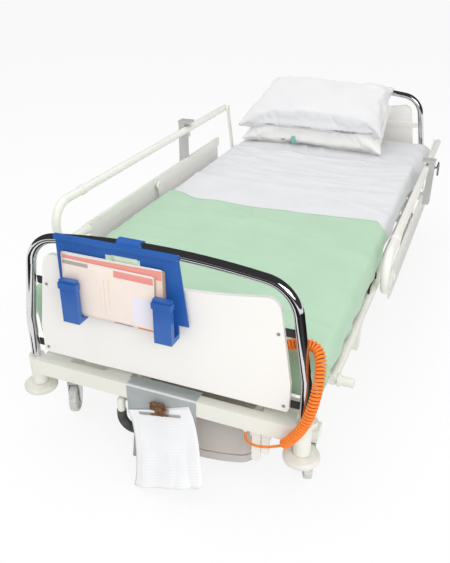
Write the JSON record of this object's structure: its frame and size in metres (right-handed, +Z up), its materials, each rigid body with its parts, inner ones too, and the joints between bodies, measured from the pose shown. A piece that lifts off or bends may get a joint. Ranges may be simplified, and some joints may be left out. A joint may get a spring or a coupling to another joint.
{
  "type": "hospital bed",
  "caption": "Height-adjustable hospital bed with chromed end hoops, drop sides, tilting backrest, castors, chart holder, clipboard, bedding and a curled cord.",
  "frame": {"origin": "on the floor under the middle of the bed, cord left out", "axes": "+X to the right seen from the foot, +Y from the foot to the head, +Z up"},
  "size_m": [1.075, 2.2816, 0.7734],
  "materials": {
    "cream_enamel": "satin enamel",
    "white_enamel": "satin enamel",
    "board_laminate": "satin",
    "end_laminate": "satin laminate",
    "chrome_tube": "polished",
    "cover_plastic": "fine grain",
    "pump_paint": "satin",
    "polished_rod": "polished",
    "sleeve_rubber": "matt",
    "castor_steel": "zinc plated",
    "castor_tread": "matt",
    "buffer_plastic": "matt",
    "hook_steel": "polished",
    "dark_plastic": "matt",
    "dark_steel": "satin",
    "holder_blue": "gloss",
    "folder_card": "matt",
    "clipboard_grey": "satin",
    "spring_clip": "worn, tarnished",
    "chart_paper": "matt",
    "sheet_cotton": "woven cotton",
    "pillow_cotton": "woven cotton",
    "blanket_cotton": "brushed cotton",
    "cord_orange": "satin"
  },
  "bodies": {
    "chassis": {"chassis_frame": "cream_enamel", "base_cover": "cover_plastic", "pump_unit": "pump_paint"},
    "pump_pedal": {"pump_pedal": "white_enamel", "pedal_sleeve": "sleeve_rubber"},
    "ram": {"ram_rod": "polished_rod"},
    "lift_foot": {"lift_arms_foot": "cream_enamel"},
    "lift_head": {"lift_arms_head": "cream_enamel"},
    "upper_frame": {"main_frame": "cream_enamel", "foot_crossbar": "cream_enamel", "head_crossbar": "cream_enamel", "side_carriers": "cream_enamel", "mattress_retainers": "dark_plastic", "seat_deck": "cream_enamel", "mattress_main": "sheet_cotton", "mattress_fold": "sheet_cotton", "blanket": "blanket_cotton", "clipboard": "clipboard_grey", "chart_papers": "chart_paper", "cord_lead": "cord_orange"},
    "backrest": {"backrest_deck": "cream_enamel", "mattress_back": "sheet_cotton", "pillow_lower": "pillow_cotton", "pillow_upper": "pillow_cotton"},
    "release_a": {"release_pedal_a": "white_enamel"},
    "release_b": {"release_pedal_b": "white_enamel"},
    "foot_end": {"foot_hoop": "chrome_tube", "foot_panel": "end_laminate", "foot_fixings": "dark_steel", "chart_holder": "holder_blue", "chart_folders": "folder_card", "cord_coil": "cord_orange"},
    "head_end": {"head_hoop": "chrome_tube", "head_panel": "end_laminate", "head_fixings": "dark_steel"},
    "paper_clip": {"clipboard_clip": "spring_clip"},
    "castor_fork_foot_left": {"castor_fork_foot_left": "castor_steel"},
    "castor_wheel_foot_left": {"castor_wheel_foot_left": "castor_tread"},
    "castor_fork_foot_right": {"castor_fork_foot_right": "castor_steel"},
    "castor_wheel_foot_right": {"castor_wheel_foot_right": "castor_tread"},
    "castor_fork_head_left": {"castor_fork_head_left": "castor_steel"},
    "castor_wheel_head_left": {"castor_wheel_head_left": "castor_tread"},
    "castor_fork_head_right": {"castor_fork_head_right": "castor_steel"},
    "castor_wheel_head_right": {"castor_wheel_head_right": "castor_tread"},
    "cot_arm_head_left": {"cot_arm_head_left": "white_enamel"},
    "cot_arm_foot_left": {"cot_arm_foot_left": "white_enamel"},
    "cot_side_left": {"cot_frame_left": "white_enamel", "cot_board_left": "board_laminate", "cot_post_left": "white_enamel"},
    "cot_hook_left": {"cot_hook_left": "hook_steel"},
    "cot_arm_head_right": {"cot_arm_head_right": "white_enamel"},
    "cot_arm_foot_right": {"cot_arm_foot_right": "white_enamel"},
    "cot_side_right": {"cot_frame_right": "white_enamel", "cot_board_right": "board_laminate", "cot_post_right": "white_enamel"},
    "cot_hook_right": {"cot_hook_right": "hook_steel"},
    "buffer_foot_left": {"buffer_foot_left": "buffer_plastic"},
    "buffer_foot_right": {"buffer_foot_right": "buffer_plastic"},
    "buffer_head_left": {"buffer_head_left": "buffer_plastic"},
    "buffer_head_right": {"buffer_head_right": "buffer_plastic"}
  },
  "joints": [
    {"name": "castor_swivel_foot_left", "type": "hinge", "parent": "chassis", "child": "castor_fork_foot_left", "pos_m": [-0.395, -0.885, 0.117], "axis": [0, 0, 1], "continuous": true},
    {"name": "castor_roll_foot_left", "type": "hinge", "parent": "castor_fork_foot_left", "child": "castor_wheel_foot_left", "pos_m": [-0.38376, -0.91282, 0.05], "axis": [0.9272, 0.3746, 0], "continuous": true},
    {"name": "castor_swivel_foot_right", "type": "hinge", "parent": "chassis", "child": "castor_fork_foot_right", "pos_m": [0.395, -0.885, 0.117], "axis": [0, 0, 1], "continuous": true},
    {"name": "castor_roll_foot_right", "type": "hinge", "parent": "castor_fork_foot_right", "child": "castor_wheel_foot_right", "pos_m": [0.40377, -0.91369, 0.05], "axis": [0.9563, 0.2924, 0], "continuous": true},
    {"name": "castor_swivel_head_left", "type": "hinge", "parent": "chassis", "child": "castor_fork_head_left", "pos_m": [-0.395, 0.985, 0.117], "axis": [0, 0, 1], "continuous": true},
    {"name": "castor_roll_head_left", "type": "hinge", "parent": "castor_fork_head_left", "child": "castor_wheel_head_left", "pos_m": [-0.40021, 0.95546, 0.05], "axis": [0.9848, -0.1736, 0], "continuous": true},
    {"name": "castor_swivel_head_right", "type": "hinge", "parent": "chassis", "child": "castor_fork_head_right", "pos_m": [0.395, 0.985, 0.117], "axis": [0, 0, 1], "continuous": true},
    {"name": "castor_roll_head_right", "type": "hinge", "parent": "castor_fork_head_right", "child": "castor_wheel_head_right", "pos_m": [0.41, 0.95902, 0.05], "axis": [0.866, 0.5, 0], "continuous": true},
    {"name": "lift", "type": "hinge", "parent": "chassis", "child": "lift_foot", "pos_m": [0, -0.545, 0.182], "axis": [1, 0, 0], "range_deg": [0, 50]},
    {"name": "lift_level", "type": "hinge", "parent": "lift_foot", "child": "upper_frame", "pos_m": [0, -0.03006, 0.25437], "axis": [1, 0, 0], "range_deg": [-50, 0]},
    {"name": "lift_head_arms", "type": "hinge", "parent": "chassis", "child": "lift_head", "pos_m": [0, 0.38, 0.182], "axis": [1, 0, 0], "range_deg": [0, 50]},
    {"name": "ram_push", "type": "slide", "parent": "chassis", "child": "ram", "axis": [0, 1, 0], "range_m": [0, 0.0765]},
    {"name": "pump_press", "type": "hinge", "parent": "chassis", "child": "pump_pedal", "pos_m": [-0.127, -0.89, 0.19], "axis": [1, 0, 0], "range_deg": [0, 10], "stiffness_Nm_per_rad": 6, "springref_deg": -34.38},
    {"name": "release_a_press", "type": "hinge", "parent": "upper_frame", "child": "release_a", "pos_m": [0.291, -1.047, 0.226], "axis": [1, 0, 0], "range_deg": [0, 18]},
    {"name": "release_b_press", "type": "hinge", "parent": "upper_frame", "child": "release_b", "pos_m": [0.316, -1.047, 0.226], "axis": [1, 0, 0], "range_deg": [0, 18]},
    {"name": "backrest_tilt", "type": "hinge", "parent": "upper_frame", "child": "backrest", "pos_m": [0, 0.212, 0.334], "axis": [1, 0, 0], "range_deg": [0, 60], "deforming": ["mattress_fold"]},
    {"name": "foot_end_lift", "type": "slide", "parent": "upper_frame", "child": "foot_end", "axis": [0, 0, 1], "range_m": [0, 0.12]},
    {"name": "head_end_lift", "type": "slide", "parent": "upper_frame", "child": "head_end", "axis": [0, 0, 1], "range_m": [0, 0.12]},
    {"name": "paper_clip_open", "type": "hinge", "parent": "upper_frame", "child": "paper_clip", "pos_m": [0.01, -1.0776, 0.246], "axis": [-1, 0, 0], "range_deg": [0, 20], "stiffness_Nm_per_rad": 0.3, "springref_deg": -28.65},
    {"name": "cot_swing_left", "type": "hinge", "parent": "upper_frame", "child": "cot_arm_head_left", "pos_m": [-0.4725, 0.721, 0.358], "axis": [1, 0, 0], "range_deg": [-81, 0]},
    {"name": "cot_swing_foot_left", "type": "hinge", "parent": "upper_frame", "child": "cot_arm_foot_left", "pos_m": [-0.4725, -0.015, 0.21], "axis": [1, 0, 0], "range_deg": [-81, 0]},
    {"name": "cot_level_left", "type": "hinge", "parent": "cot_arm_head_left", "child": "cot_side_left", "pos_m": [-0.4725, 0.63329, 0.64489], "axis": [1, 0, 0], "range_deg": [0, 81]},
    {"name": "cot_hook_left_lift", "type": "hinge", "parent": "cot_side_left", "child": "cot_hook_left", "pos_m": [-0.515, 0.228, 0.64489], "axis": [1, 0, 0], "range_deg": [0, 35]},
    {"name": "cot_swing_right", "type": "hinge", "parent": "upper_frame", "child": "cot_arm_head_right", "pos_m": [0.4725, 0.721, 0.358], "axis": [1, 0, 0], "range_deg": [0, 81]},
    {"name": "cot_swing_foot_right", "type": "hinge", "parent": "upper_frame", "child": "cot_arm_foot_right", "pos_m": [0.4725, -0.015, 0.21], "axis": [1, 0, 0], "range_deg": [0, 81]},
    {"name": "cot_level_right", "type": "hinge", "parent": "cot_arm_head_right", "child": "cot_side_right", "pos_m": [0.4725, 0.99064, 0.48951], "axis": [1, 0, 0], "range_deg": [-81, 0]},
    {"name": "cot_hook_right_lift", "type": "hinge", "parent": "cot_side_right", "child": "cot_hook_right", "pos_m": [0.515, 0.58535, 0.48951], "axis": [1, 0, 0], "range_deg": [0, 35]},
    {"name": "buffer_spin_foot_left", "type": "hinge", "parent": "upper_frame", "child": "buffer_foot_left", "pos_m": [-0.412, -1.035, 0.177], "axis": [0, 0, 1], "continuous": true},
    {"name": "buffer_spin_foot_right", "type": "hinge", "parent": "upper_frame", "child": "buffer_foot_right", "pos_m": [0.412, -1.035, 0.177], "axis": [0, 0, 1], "continuous": true},
    {"name": "buffer_spin_head_left", "type": "hinge", "parent": "upper_frame", "child": "buffer_head_left", "pos_m": [-0.412, 1.085, 0.177], "axis": [0, 0, 1], "continuous": true},
    {"name": "buffer_spin_head_right", "type": "hinge", "parent": "upper_frame", "child": "buffer_head_right", "pos_m": [0.412, 1.085, 0.177], "axis": [0, 0, 1], "continuous": true}
  ],
  "couplings": [
    {"joint": "lift_level", "follows": "lift", "ratio": -1},
    {"joint": "lift_head_arms", "follows": "lift", "ratio": 1},
    {"joint": "ram_push", "follows": "lift", "m_per_rad": 0.087171},
    {"joint": "cot_swing_foot_left", "follows": "cot_swing_left", "ratio": 1},
    {"joint": "cot_level_left", "follows": "cot_swing_left", "ratio": -1},
    {"joint": "cot_swing_foot_right", "follows": "cot_swing_right", "ratio": 1},
    {"joint": "cot_level_right", "follows": "cot_swing_right", "ratio": -1}
  ]
}
